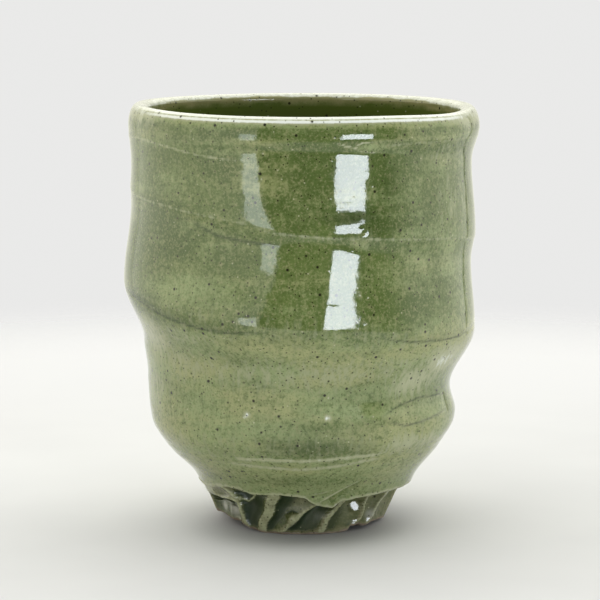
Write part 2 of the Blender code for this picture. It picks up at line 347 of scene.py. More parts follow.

# Painted shade, black in the foot's undercuts, hollows and notch; and where the foot's glaze is scarred or
# thin: (phi, height, spread round, spread up, amount)
FOOT_PAINTED_SHADE = (
    (11, 6.6, 2.2, 1, 0.9),
    (-37, 10.2, 2.6, 0.7, 0.75),
    (-62, 6.8, 1.6, 0.5, 1),
    (-50, 6.2, 1.6, 0.6, 0.85),
    (-45.5, 4.6, 0.5, 0.9, 0.9),
    (-57, 4.4, 0.4, 0.8, 0.7),
    (36.5, 1.9, 2.6, 0.35, 0.9),
)
FOOT_SCARS = (
    (-62, 4.8, 1.2, 1.2, 0.95),
    (-52, 4.2, 1.6, 1.3, 1),
    (49, 3.6, 1.3, 1.1, 0.45),
)
FOOT_THINS = (
    (-2, 8.5, 3, 1.6, 0.55),
    (-6, 4.4, 1.1, 1, 0.8),
    (-52, 9.6, 4, 1.2, 0.45),
)

# Edges drawn on the foot by the gouge: the relief, its spread, how pale or, below zero, dark with painted
# shade it is, and the line as (phi, height). A pale edge also drives the pooled glaze and painted shade off.
FOOT_LINES = (
    (0.28, 0.45, 0.6, ((-46.9, 10.9), (-42, 9.5), (-38.2, 8.2), (-36, 7.5), (-31.2, 8.9), (-26.8, 10.3))),
    (-1.2, 0.42, -1, ((-70, 6), (-63, 6.7), (-56, 6.9), (-48.6, 6.6), (-46, 5.4), (-45, 4.4))),
    (0.25, 0.4, 0.45, ((-56, 7.2), (-49.3, 8.1), (-44, 8.1), (-40.2, 7.3), (-39.2, 5.8))),
    (-0.2, 0.4, -0.85, ((-9.2, 5.5), (-6.3, 6.1), (-3, 5.8))),
    (0.15, 0.3, 0.5, ((24.9, 10.7), (27.5, 10))),
)
FOOT_LINE_TINT_SPREAD = 0.7
FOOT_LINE_CRUMBLE = 0.5
FOOT_LINE_DRAINS = 1.6

# A small flat on the foot: its phi, height, radius there and reach, and the phi and lift that it faces
FOOT_FACET = (34.6, 6.4, 21.7, 1.8, 17.5, 6.7)
FACET_BLEND = 0.6
FACET_SIGHT = 60.0

# Where the ankle and the foot were pared down: (phi, spread in degrees, depth), and over which heights
ANKLE_PARED = ((-85, 50, 0.85), (95, 40, 0.35))
FOOT_PARED = ((-90, 32, 0.5), (85, 32, 0.8))
WALL_PARED_FROM = (18.0, 12.5)
FOOT_PARED_FROM = (6.0, 10.0)

# Where the glaze pools, runs thin or thick, breaks pale, or leans to tan or sage, with rows as for the foot.
# Some pools and thick places are painted shade where the belly turns under, some thin places are painted
# light bounced onto the lower wall, and some pale places are painted reflections near the wall's edges.
POOLS_AND_SHADE = (
    (16, 77.4, 6.5, 1.5, 0.6),
    (29.5, 84, 3, 6.5, 0.24),
    (24, 76, 5, 5, 0.2),
    # This row and the one at 27.5 high are painted shade where the belly turns under
    (4, 24, 13, 2.6, 0.43),
    (8, 13, 14, 1.8, 0.14),
    (4, 27.5, 12, 2.6, 0.16),
    (-44, 95, 8, 2, 0.12),
    (-8, 14.5, 14, 1.6, 0.18),
)
THIN_AND_LIT_PLACES = (
    (-15, 89, 9, 6, 0.42),
    (-15, 95.2, 9, 2.6, 0.65),
    (-32, 75, 11, 2.6, 0.38),
    (46, 73, 10, 4, 0.45),
    (54, 69.5, 7, 3.5, 0.7),
    (22, 93.2, 3.2, 1, 0.8),
    (20, 71, 3.2, 1.4, 0.7),
    (-40, 86.5, 8, 2.5, 0.35),
    (-27, 70, 9, 4, 0.35),
    (44, 68, 8, 5, 0.45),
    (48, 89, 7, 3, 0.45),
    (0, 58, 8, 5, 0.18),
    (-30, 54.5, 8, 2.5, 0.35),
    # From this row to the one at 26 high: thinner glaze and painted light bounced onto the lower wall
    (-5, 46.5, 26, 2.5, 0.82),
    (6, 41, 26, 5.5, 0.95),
    (-40, 38, 16, 6, 0.8),
    (38, 26, 9, 5, 0.95),
    (-14, 31, 12, 3, 0.35),
    (60, 62, 9, 12, 0.3),
    (-40, 60.5, 13, 4.6, 0.85),
    (0, 96, 60, 1.6, 0.3),
)
THICKS_AND_SHADE = (
    (-22, 80.8, 13, 2.8, 0.45),
    # These two rows are painted shade where the belly turns under
    (2, 24.2, 13, 3, 0.75),
    (6, 28, 13, 3, 0.45),
)
PALE_AND_LIT_PLACES = (
    # The rows near the wall's left and right edges and in the hollow under the right bulge are painted
    # reflected light
    (-64, 46, 8, 7, 0.46),
    (-68, 34, 7, 6, 0.34),
    (-52, 23.4, 7, 3, 0.32),
    (57, 42, 7, 4, 0.68),
    (44, 38, 9, 4, 0.48),
    (-42, 49, 12, 2.4, 0.26),
    (-50, 42, 9, 5, 0.32),
    (56, 91, 8, 4, 0.24),
    (56, 80, 5, 9, 0.22),
    (54, 23, 5, 2.5, 0.4),
    (41, 23.3, 8, 2.8, 0.46),
    (69, 80, 6, 12, 0.22),
)
TAN_PLACES = (
    (-9, 89, 8, 6, 1),
    (-14, 95.5, 9, 3, 1),
    (-7, 48.6, 15, 1.9, 1),
    (10, 43.5, 14, 4, 1),
    (-19, 34.5, 11, 3, 1),
    (-47, 42, 5, 3, 0.6),
    (38, 26, 9, 3, 0.9),
    (62, 47, 6, 2.5, 0.8),
)
SAGE_PLACES = (
    (-40, 46, 8, 3.5, 1),
    (-11, 42.3, 7, 2, 1),
    (-39, 33, 8, 4, 1),
    (-5, 28, 14, 2.6, 1),
    (17, 34.5, 10, 3.5, 1),
    (38, 40.5, 10, 4.5, 0.9),
    (-36, 60, 12, 5, 0.8),
    (-68, 42, 6, 9, 1),
)

# What the outer coat does everywhere: pale on crests, along its lower edge and in a belt, pooled in hollows,
# and sparse below the bulge, where its paleness is partly painted light bounced up onto the down-facing wall
CREST_ROWS = 16
CREST_STAND = (0.05, 0.6)
CREST_PALENESS = 0.14
HOLLOW_STAND = (-0.03, -0.45)
HOLLOW_POOLING = 0.08
EDGE_PALENESS = 0.5
EDGE_PALE_SPREAD = 0.45
BELT_HEIGHT = 41.5
BELT_SPREAD = 4.5
BELT_PALENESS = 0.25
SPARSE_AND_LIT_BELOW = (57.0, 47.0)
SPARSENESS_AND_BOUNCE = 0.62

# Each glaze: its plain, dark, sage, tan and scarred tints, how mottled it is, and how dull it is where it
# pools and where shade is painted
GREEN_GLAZE = (
    (0.119, 0.162, 0.046), (0.076, 0.113, 0.029), (0.25, 0.304, 0.13),
    (0.305, 0.325, 0.142), (0.33, 0.3, 0.145), 1.0, 0.0,
)
LINER_GLAZE = (
    (0.115, 0.155, 0.032), (0.083, 0.113, 0.019), (0.16, 0.185, 0.055),
    (0.18, 0.18, 0.06), (0.27, 0.24, 0.115), 0.5, 0.0,
)
FLUTE_GLAZE = (
    (0.12, 0.128, 0.056), (0.075, 0.092, 0.032), (0.2, 0.2, 0.105),
    (0.21, 0.195, 0.105), (0.6, 0.59, 0.53), 0.4, 0.45,
)

# Tints that the glazes share
CURD_PALE = (0.25, 0.245, 0.115)
GRAIN_PALE = (0.29, 0.28, 0.14)
GRAIN_DARK = (0.055, 0.075, 0.02)
# Black for pooled glaze and for painted shade
POOL_AND_SHADE_BLACK = (0.009, 0.022, 0.005)
BROKEN_PALE = (0.335, 0.35, 0.205)
CREAM = (0.8, 0.825, 0.775)
DEEP_GREEN = (0.09, 0.124, 0.023)
RUST = (0.07, 0.07, 0.025)
IRON = (0.016, 0.016, 0.008)
FLECK = (0.44, 0.43, 0.27)
GLAZE_IOR = 1.52
PEEL_RELIEF = 0.02
FLECK_RELIEF = 0.015

# Each clay: its tints where it is pale and where it is toasted
FOOT_CLAY = ((0.29, 0.235, 0.165), (0.17, 0.13, 0.09))
BODY_CLAY = ((0.5, 0.4, 0.28), (0.38, 0.29, 0.2))
CLAY_SPECK = (0.05, 0.035, 0.02)
SAND_RELIEF = 0.06

# The studio, in metres: a round table top that fades out, with a painted shadow close under the cup
TABLE_RADIUS = 0.37
TABLE_MIDDLE = 0.004
TABLE_PLAIN = 0.1
TABLE_FADE = 0.24
TABLE_TINTS = ((0.695, 0.7, 0.755), (0.715, 0.72, 0.775))
TABLE_FAR_TINT = (0.73, 0.735, 0.8)
TABLE_ROUGHNESS = 0.7
TABLE_SHEEN = 0.2
PAINTED_SHADOW_TINT = (0.1, 0.1, 0.08)
PAINTED_SHADOW_FORWARD = 0.013
PAINTED_SHADOW_REACH = (0.03, 0.01)
PAINTED_SHADOW_DEPTH = 0.4
CAMERA_PLACE = (-0.00055, -0.64, 0.147)
CAMERA_PITCH = math.radians(8.358)
FOCAL_LENGTH = 161.4

# A window low on the right behind the camera, and a white screen's bright edge on the left: the phi, width,
# rise and height in degrees, the radiance and the tint
WINDOW = (35.0, 23.0, 0.33, 15.5, 15.5, (0.86, 0.92, 1.0))
STRIP = (-34.0, 10.0, -1.0, 18.0, 3.7, (0.9, 1.0, 1.0))
LIGHT_DISTANCE = 2.0
LIGHT_AIM = 0.06

# A white room, dark behind the camera: how bright its parts are, the degrees over which its walls begin and
# end, and the slopes of sight over which they brighten
ROOM_ABOVE = 1.9
ROOM_SIDES = 1.45
ROOM_BACK = 0.94
ROOM_BACK_LOW = 1.04
ROOM_FRONT = 0.05
LEFT_WALL = ((-27.5, -29.5), (-144.0, -138.0))
RIGHT_WALL = ((56.0, 84.0), (142.0, 138.0))
FRONT_WALL = ((-29.5, -27.5), (84.0, 56.0))
BACK_WALL = ((-138.5, -144.5), (140.5, 144.5))
SIDES_BRIGHTEN = (0.4, 0.24)
BACK_BRIGHTENS = (-0.02, -0.1)
CEILING_FROM = (0.62, 0.86)
CEILING_TILT = 0.5
ROOM_TINT = (1.0, 0.99, 0.88)
BACKDROP_TINT = (1.0, 1.0, 0.99)
BACKDROP = 0.82

# How finely the meshes are divided
SIDES = 340
WALL_ROWS = 226
EDGE_ROWS = 5
LIP_ROWS = 31
LAP_ROWS = 10
BACK_ROWS = 20
INNER_ROWS = 110
BOWL_ROWS = 30
FOOT_SIDES = 680
FOOT_ROWS = 64
FOOT_CLAY_ROWS = 12
FOOT_EDGE_ROWS = 5
RECESS_ROWS = 10
RECESS_RINGS = 16
BODY_SIDES = 120
BODY_ROWS = 40
BODY_ROW_STEP = 5
TABLE_SIDES = 96
TABLE_RINGS = 24


def mix(a, b, share):
    return a + (b - a) * share


def ease(low, high, value):
    """0 at low, 1 at high, and level at both ends. High may be the lesser of the two."""
    share = np.clip((value - low) / (high - low), 0.0, 1.0)
    return share * share * (3.0 - 2.0 * share)


def bell(offset, spread):
    return np.exp(-(offset / spread) ** 2)


def catmull_rom(rows, share):
    """The curve through four evenly spaced rows, between the middle two."""
    a, b, c, d = rows
    slope = (c - a) / 2.0
    bend = a - 2.5 * b + 2.0 * c - 0.5 * d
    twist = 1.5 * (b - c) + 0.5 * (d - a)
    return b + share * (slope + share * (bend + share * twist))


def spiral_rows(turn):
    """The crest and the hollow of the throwing ridge at each turn, as (height, radius) pairs of arrays."""
    last = len(SPIRAL) - 1
    held = np.clip(turn, 0.0, last * SPIRAL_STEP)
    index = np.minimum(last - 1, (held / SPIRAL_STEP).astype(int))
    share = (held / SPIRAL_STEP - index)[:, None]
    row = catmull_rom([SPIRAL[np.clip(index + k, 0, last)] for k in (-1, 0, 1, 2)], share)
    run_on = (held - turn) * SPIRAL_PITCH
    return (row[:, 0] + run_on, row[:, 1]), (row[:, 2] + run_on, row[:, 3])


def spiral_radius(angle, height):
    points = [point for k in range(SPIRAL_TURNS) for point in spiral_rows(angle / math.tau - 2.0 + k)]
    radius = np.broadcast_to(points[0][1], height.shape)
    for upper, lower in zip(points, points[1:]):
        eased = mix(lower[1], upper[1], ease(lower[0], upper[0], height))
        radius = np.where(height < upper[0], eased, radius)
    return radius


def thrown_radius(angle, height):
    """Outside radius of the wall as the solids have it."""
    neck = CUP_HEIGHT - NECK_DROP - NECK_TILT * np.sin(angle)
    up = ease(ANKLE_HEIGHT, BELLY_HEIGHT, height)
    belly = mix(ANKLE_RADIUS, BELLY_RADIUS, up) + mix(ANKLE_SHIFT, 0.0, up) * np.cos(angle)
    up = ease(neck, CUP_HEIGHT - LIP_ROUND, height)
    lip = mix(NECK_RADIUS, LIP_RADIUS, up) + mix(NECK_SHIFT, LIP_SHIFT, up) * np.cos(angle)
    above_belly = ease(BELLY_HEIGHT - BELLY_BLEND, BELLY_HEIGHT + BELLY_BLEND, height)
    below_neck = mix(belly, spiral_radius(angle, height), above_belly)
    return mix(below_neck, lip, ease(neck - NECK_BLEND, neck, height))


def wall_thickness(height):
    return mix(BASE_WALL, LIP_WALL, ease(FLOOR_HEIGHT, CUP_HEIGHT - LIP_ROUND, height))


def turned(phi, centre=0.0):
    """Degrees from one place round to another, between -180 and 180."""
    return (phi - centre + 180.0) % 360.0 - 180.0


def phi_of(angle):
    return turned(np.degrees(angle - FRONT))


def line_at(points, phi):
    """The height of a line at each phi, and how far it is there: it fades out at both ends."""
    places, heights = zip(*points)
    fade = min(LINE_FADE, (places[-1] - places[0]) / 4.0)
    there = ease(places[0], places[0] + fade, phi) * ease(places[-1], places[-1] - fade, phi)
    return np.interp(phi, places, heights), there


def line_relief(phi, height):
    """(relief, paleness, darkness) of the lines in the wall."""
    relief = np.zeros(height.shape)
    pale = np.zeros(height.shape)
    dark = np.zeros(height.shape)
    for size, below, above, paleness, points in LINES:
        for turn in (-360.0, 0.0, 360.0):
            centre, there = line_at(points, phi + turn)
            offset = height - centre
            shape = there * bell(offset, np.where(offset < 0.0, below, above))
            relief += size * shape
            strength = paleness * (there * bell(offset, below) if paleness > 0.0 else shape)
            pale = np.maximum(pale, strength)
            dark = np.maximum(dark, -strength)
    return relief, pale, dark


def distance(phi, height, centre, middle, radius):
    """How far each point of the wall is from one place on it."""
    return np.hypot(np.radians(turned(phi, centre)) * radius, height - middle)


def blister_relief(phi, height):
    rng = np.random.default_rng(SEED)
    scattered = zip(*(rng.uniform(low, high, SMALL_BLISTERS) for low, high in SMALL_RANGES))
    centre, middle, radius, width, size = RING_BLISTER
    ring = size * bell(distance(phi, height, centre, middle, NECK_RADIUS) - radius, width)
    return ring + sum(
        size * bell(distance(phi, height, centre, middle, NECK_RADIUS), radius)
        for centre, middle, radius, size in BLISTERS + tuple(scattered)
    )


def wave_relief(angle, height):
    relief = np.zeros(height.shape)
    for size, around, rise, phase in WAVES:
        swing = np.sin(around * angle + math.tau * rise * height / CUP_HEIGHT + phase)
        relief += size * swing * np.cos(3.0 * phase + angle * (around // 3) - height / WAVE_SWING)
    return relief


def cut_depth(cuts, phi, height, radius):
    """The deepest of several short scoops, each a bowl that is level with the surface at its rim."""
    depth = np.zeros(height.shape)
    for centre, middle, half_length, half_width, lean, deepest in cuts:
        round_by = np.radians(turned(phi, centre)) * radius
        rise = height - middle
        tip = math.radians(lean)
        along = rise * math.cos(tip) + round_by * math.sin(tip)
        across = round_by * math.cos(tip) - rise * math.sin(tip)
        depth = np.maximum(depth, deepest * (1.0 - (along / half_length) ** 2 - (across / half_width) ** 2))
    return depth


def flat_cut(phi, height):
    """(depth, edge) of the flats sliced off the wall, with the edge 1 along each flat's upper side."""
    depth = np.zeros(height.shape)
    edge = np.zeros(height.shape)
    for (left, left_height), (right, right_height), reach, deepest in FLATS:
        run = math.radians(right - left) * ANKLE_RADIUS
        rise = right_height - left_height
        length = math.hypot(run, rise)
        across = np.radians(phi - left) * ANKLE_RADIUS
        up = height - left_height
        along = (across * run + up * rise) / length
        below = (across * rise - up * run) / length
        there = ease(-FLAT_PAST, FLAT_PAST, along) * ease(length + FLAT_PAST, length - FLAT_FADE, along)
        slice_depth = deepest * ease(0.0, FLAT_BITE, below) * ease(reach, reach - FLAT_RUN_OUT, below)
        depth = np.maximum(depth, slice_depth * there)
        edge = np.maximum(edge, there * bell(below + FLAT_EDGE_RISE, FLAT_EDGE_SPREAD))
    return depth, edge


def spots(places, phi, height, radius):
    """The strongest of several soft spots on a wall of this radius."""
    return np.maximum.reduce([
        most * bell(np.radians(turned(phi, centre)) * radius, spread) * bell(height - middle, tall)
        for centre, middle, spread, tall, most in places
    ])


def arcs(places, phi):
    """The sum of several soft rises round the cup."""
    return sum(most * bell(turned(phi, centre), spread) for centre, spread, most in places)


def waves(rows, angle, level=0.0):
    """A line that waves round the cup about a level."""
    return sum((size * np.sin(around * angle + phase) for size, around, phase in rows), level)


def swell_relief(phi, height):
    return sum(
        size * bell(phi - centre, spread) * bell(height - middle, tall)
        for centre, middle, spread, tall, size in SWELLS
    )


def outer_wall(angle, height):
    """(radius, paleness, darkness) of the outer coat's face below the lip."""
    phi = phi_of(angle)
    thrown = thrown_radius(angle, height)
    relief, pale, dark = line_relief(phi, height)
    relief = relief + blister_relief(phi, height) + wave_relief(angle, height) + swell_relief(phi, height)
    relief = relief * ease(*RELIEF_FROM, height)
    sliced, edge = flat_cut(phi, height)
    cut = cut_depth(WALL_CUTS, phi, height, thrown) + sliced
    cut = cut + arcs(ANKLE_PARED, phi) * ease(*WALL_PARED_FROM, height)
    return thrown + relief - cut, np.maximum(pale, FLAT_EDGE_PALENESS * edge), dark


def ragged(angle):
    """A restless line round the cup, between -1 and 1."""
    return (
        np.sin(17.0 * angle + 1.0) * 0.4
        + np.sin(41.0 * angle + 2.0 * np.sin(5.0 * angle)) * 0.35
        + np.sin(97.0 * angle + 3.0 * np.sin(7.0 * angle + 1.0)) * 0.25
    )


def coat_edge(angle):
    """Height of the outer coat's lower edge."""
    phi = phi_of(angle)
    away = waves(EDGE_WAVES, angle, EDGE_HEIGHT)
    front = np.interp(phi, *zip(*EDGE_LINE))
    return mix(away, front, ease(*EDGE_LINE_FADE, np.abs(phi))) + EDGE_RAGGED * ragged(angle)


def swelling(radius, rows):
    """How far each point of a wall stands out from the run of the wall above and below it."""
    padded = np.pad(radius, ((rows, rows), (0, 0)), mode="edge")
    summed = np.cumsum(np.vstack([np.zeros((1, radius.shape[1])), padded]), axis=0)
    mean = (summed[2 * rows + 1:] - summed[:-2 * rows - 1]) / (2 * rows + 1)
    return radius - mean


def sunk(radius, height, depth):
    """A grid moved into the clay by depth, square to each of its columns."""
    along_radius = np.gradient(radius, axis=0)
    along_height = np.gradient(height, axis=0)
    length = np.hypot(along_radius, along_height)
    return radius - depth * along_height / length, height + depth * along_radius / length


def wall_marks(phi, height, edge, radius, pale, dark):
    """Where the outer coat is thin, pooled, sparse and tan on the wall. The thin and sparse marks also hold
    painted light, and the pooled one painted shade.
    """
    stand = swelling(radius, CREST_ROWS)
    blisters = [bell(distance(phi, height, *place, BELLY_RADIUS), size) for *place, size in PALE_BLISTERS]
    # Pale glaze, with painted reflected light at some pale places
    pale_and_lit = np.maximum.reduce([
        pale,
        CREST_PALENESS * ease(*CREST_STAND, stand),
        EDGE_PALENESS * bell(height - edge, EDGE_PALE_SPREAD),
        BELT_PALENESS * bell(height - BELT_HEIGHT, BELT_SPREAD),
        spots(PALE_AND_LIT_PLACES, phi, height, BELLY_RADIUS),
        *blisters,
    ])
    # Pooled glaze, with painted shade under the left bulge and where the belly turns under
    pooled_and_shaded = np.maximum(dark, spots(POOLS_AND_SHADE, phi, height, NECK_RADIUS))
    pooled_and_shaded = np.maximum(pooled_and_shaded, HOLLOW_POOLING * ease(*HOLLOW_STAND, stand))
    # Sparse glaze below the bulge, partly painted light bounced up onto the down-facing wall
    sparse_and_lit = np.maximum(SPARSENESS_AND_BOUNCE * ease(*SPARSE_AND_LIT_BELOW, height), spots(THIN_AND_LIT_PLACES, phi, height, NECK_RADIUS))
    sparse_and_lit = sparse_and_lit - spots(THICKS_AND_SHADE, phi, height, NECK_RADIUS)
    tan = spots(TAN_PLACES, phi, height, BELLY_RADIUS) - spots(SAGE_PLACES, phi, height, BELLY_RADIUS)
    return pale_and_lit, pooled_and_shaded, sparse_and_lit, tan


def lip_paleness(arc, aside):
    """How pale the outside of the lip is, round its section and round the cup. At the front, two bands of it
    are painted highlight lines on the cream glaze.
    """
    front = np.interp(np.degrees(arc), *zip(*LIP_PALENESS_AND_HIGHLIGHTS))
    sides = np.interp(np.degrees(arc), *zip(*LIP_SIDE_PALENESS))
    return mix(front, sides, ease(*LIP_SIDES, aside))


def cream_marks(angle, aside, height):
    """Where the glaze inside the lip is cream, brown and deep green."""
    end = mix(CREAM_END_BACK, CREAM_END_FRONT, ease(*CREAM_TURN, aside)) + waves(CREAM_WAVES, angle)
    at_side = ease(*CREAM_SIDE_FRONT, aside) * ease(*CREAM_SIDE_BACK, aside)
    cream = ease(*CREAM_BAND, height - end)
    brown = BROWN_DEPTH * ease(*BROWN_BAND, height - end) * (1.0 - cream)
    return mix(CREAM_PALENESS, CREAM_SIDE_PALENESS, at_side) * cream, brown, ease(*DEEP_BAND, height - end)


def outer_coat_grid(angle):
    """The outer coat's face from its rolled lower edge, up the wall, over the lip and down the lap.

    Returns radius, height and marks: where the glaze is thin, pooled, sparse, deep, bare or tan. The thin
    and sparse marks also hold painted light, and the pooled one painted shade.
    """
    phi = phi_of(angle)
    edge = coat_edge(angle)
    height = edge + (LIP_SPRING - edge) * np.linspace(0.0, 1.0, WALL_ROWS)[:, None]
    radius, pale, dark = outer_wall(angle, height)

    roll = np.linspace(math.pi / 2.0, 0.0, EDGE_ROWS, endpoint=False)[:, None]
    roll_radius = radius[0] - GLAZE * (1.0 - np.cos(roll))
    roll_height = height[0] - GLAZE / 2.0 * np.sin(roll)

    half_wall = wall_thickness(LIP_SPRING) / 2.0
    arc = math.pi * np.arange(1, LIP_ROWS + 1)[:, None] / (LIP_ROWS + 1)
    outside = arc < math.pi / 2.0
    lip_radius = radius[-1] - half_wall + half_wall * np.cos(arc)
    rounding = np.where(outside, CUP_HEIGHT - LIP_SPRING, LIP_INNER_ROUND)
    lip_height = CUP_HEIGHT - rounding * (1.0 - np.sin(arc)) + 0.0 * angle
    lap_top = CUP_HEIGHT - LIP_INNER_ROUND
    lap_height = np.linspace(lap_top, LIP_SPRING - GLAZE_LAP, LAP_ROWS)[:, None] + 0.0 * angle
    lap_radius = inside_radius(angle, lap_height)

    parts = roll_radius, radius, lip_radius, lap_radius

    def stacked(*values):
        return np.vstack([np.broadcast_to(value, part.shape) for value, part in zip(values, parts)])

    aside = np.abs(phi)
    pale_and_lit, pooled_and_shaded, sparse_and_lit, tan = wall_marks(phi, height, edge, radius, pale, dark)
    lip_cream, lip_brown, _ = cream_marks(angle, aside, lip_height)
    lap_cream, lap_brown, lap_deep = cream_marks(angle, aside, lap_height)
    # The lip's pale bands hold painted highlight lines
    lip_pale_and_lit = np.where(outside, lip_paleness(arc, aside), lip_cream)
    lip_sparse = np.where(outside, ease(*LIP_SPARSE_FROM, lip_height), 1.0)
    level = np.vstack([roll_height, height, lip_height, lap_height])
    return np.vstack(parts), level + arcs(LIP_LEVELS, phi) * ease(*LIP_LEVEL_FROM, level), {
        "pale_and_lit": stacked(EDGE_PALENESS, pale_and_lit, lip_pale_and_lit, lap_cream),
        "pool_and_shade": stacked(0.0, pooled_and_shaded, 0.0, 0.0),
        "sparse_and_lit": stacked(0.0, sparse_and_lit, lip_sparse, 0.0),
        "deep": stacked(0.0, 0.0, 0.0, lap_deep),
        "bare": stacked(0.0, 0.0, np.where(outside, 0.0, lip_brown), lap_brown),
        "tan": stacked(0.0, tan, 0.0, 0.0),
    }


def inside_radius(angle, height):
    """Radius of the inside, which follows the outside and is evened out towards the lip."""
    spring = np.full((1, angle.size), LIP_SPRING)
    thrown = thrown_radius(angle, spring)
    at_lip = outer_wall(angle, spring)[0] - thrown
    near_lip = ease(LIP_SPRING - GLAZE_LAP, LIP_SPRING, height)
    rings = INNER_RING_SIZE * np.sin(math.tau * height / INNER_RING_PITCH + angle) * (1.0 - near_lip)
    spread = [thrown_radius(angle, np.minimum(height + k, spring)) for k in INSIDE_EVEN_OVER]
    even = mix(thrown_radius(angle, height), sum(spread) / len(spread), ease(*INSIDE_EVEN_FROM, height))
    even = mix(even, thrown, ease(LIP_SPRING - INSIDE_LIP_REACH, LIP_SPRING, height))
    return even - wall_thickness(height) + at_lip * near_lip + rings


def liner_grid(angle):
    """The liner's face, from the lap down to the last ring round the middle of the floor."""
    top = LIP_SPRING - GLAZE_LAP
    bowl_top = FLOOR_HEIGHT + BOWL_RISE
    wall_height = np.linspace(top, bowl_top, INNER_ROWS)[:, None] + 0.0 * angle
    wall = inside_radius(angle, wall_height)
    turn = (math.pi / 2.0 * np.arange(1, BOWL_ROWS) / BOWL_ROWS)[:, None]
    bowl = wall[-1] * np.cos(turn) ** BOWL_SQUARENESS
    bowl_height = bowl_top - BOWL_RISE * np.sin(turn) ** BOWL_SQUARENESS + 0.0 * angle
    return np.vstack([wall, bowl]), np.vstack([wall_height, bowl_height])


def jagged(height, place):
    """A broken edge, between -1 and 1, that differs from place to place."""
    return 0.6 * np.sin(4.1 * height + place) + 0.4 * np.sin(7.7 * height + 2.3 * place)


def from_line(points, phi, height, radius):
    """How far each point of a wall is from a line of (phi, height) points."""
    nearest = np.full(height.shape, CUP_HEIGHT)
    for (left, low), (right, high) in zip(points, points[1:]):
        run = math.radians(right - left) * radius
        rise = high - low
        across = np.radians(phi - left) * radius
        along = np.clip((across * run + (height - low) * rise) / (run * run + rise * rise), 0.0, 1.0)
        nearest = np.minimum(nearest, np.hypot(across - along * run, height - low - along * rise))
    return nearest


def flute_cut(phi, height, run):
    """(depth, darkness) of the gouge's cuts at each point of the foot, against the run of a full cut. The
    darkness is painted shade with pooled glaze in the flutes.
    """
    deepest = np.zeros(height.shape)
    darkest = np.zeros(height.shape)
    first_again = tuple(edge + 360.0 for edge in RIDGES[0][0])
    right_edges = [ridge[0] for ridge in RIDGES[1:]] + [first_again]
    for (left_edge, width, depth, skew, end, dark, floor), right_edge in zip(RIDGES, right_edges):
        left = np.interp(height, RIDGE_HEIGHTS, left_edge) + width
        right = np.interp(height, RIDGE_HEIGHTS, right_edge)
        span = right - left + 2.0 * JAG
        share = ((phi - left + JAG) % 360.0) / span
        share = np.where(share < 1.0, share, 0.0)
        near = JAG * (1.0 + jagged(height, left)) / span * (1.0 - share) ** JAG_SHARPNESS
        far = JAG * (1.0 + jagged(height, right + 40.0)) / span * share ** JAG_SHARPNESS
        share = np.clip(share - near + far, 0.0, 1.0)
        below_end = ease(end, end - FLUTE_END, height)
        # Painted shade with pooled glaze along the flute's left side and over its floor
        shade = np.maximum(dark * ease(*SIDE_SHADE, share), floor * ease(*FLOOR_SHADE, share))
        darkest = np.maximum(darkest, shade * ease(*SHADE_START, share) * below_end)
        share = share ** skew
        deepest = np.maximum(deepest, depth * 4.0 * share * (1.0 - share) * below_end)
    return deepest * run, darkest


def foot_face(angle, height, top):
    """(radius, cut, darkness) of the finished foot, whose flutes end under the outer coat's edge. The
    darkness is painted shade with pooled glaze.
    """
    phi = phi_of(angle)
    wander = sum((size * np.sin(around * angle + rise * height) for size, around, rise in WANDER), phi)
    outline = mix(FOOT_BASE_RADIUS, FOOT_TOP_RADIUS, height / FOOT_HEIGHT)
    run = outline - FOOT_BASE_RADIUS + FLUTE_LEFT_AT_TABLE
    cut, dark = flute_cut(wander, height, run)
    cut = cut * ease(top + COAT_LAP, top - FLUTE_END, height)
    cut = np.maximum(cut, cut_depth(FOOT_CUTS, wander, height, FOOT_TOP_RADIUS))
    centre, middle, reach, stand = CURL
    cut = cut - stand * bell(distance(phi, height, centre, middle, FOOT_BASE_RADIUS), reach)
    pared = np.maximum(arcs(FOOT_PARED, phi), arcs(ANKLE_PARED, phi) * ease(*FOOT_PARED_FROM, height))
    radius = outline + FLARE * ease(*FLARE_FROM, height) - cut - pared
    for relief, spread, _, points in FOOT_LINES:
        radius = radius + relief * bell(from_line(points, phi, height, FOOT_TOP_RADIUS), spread)

    centre, middle, out, reach, faces, lift = FOOT_FACET
    drop = (height - middle) * math.tan(math.radians(lift))
    aside = np.radians(np.clip(phi - faces, -FACET_SIGHT, FACET_SIGHT))
    plane = (out * math.cos(math.radians(centre - faces)) - drop) / np.cos(aside)
    there = ease(reach, reach - FACET_BLEND, distance(phi, height, centre, middle, FOOT_TOP_RADIUS))
    return mix(radius, plane, there), cut, dark


def worn_edge(angle):
    """Height of the foot's lower edge above the table."""
    return np.interp(phi_of(angle), *zip(*WORN_EDGE))


def glaze_line(angle):
    """Height where the glaze ends above the bare edge."""
    return worn_edge(angle) + BARE_FOOT + BARE_RAGGED * ragged(angle + 0.7)


def crumbled(angle, height):
    """A fine unevenness all over the foot."""
    return CRUMBLE * np.sin(47.0 * angle + height * 5.3) * np.sin(83.0 * angle - height * 3.1)


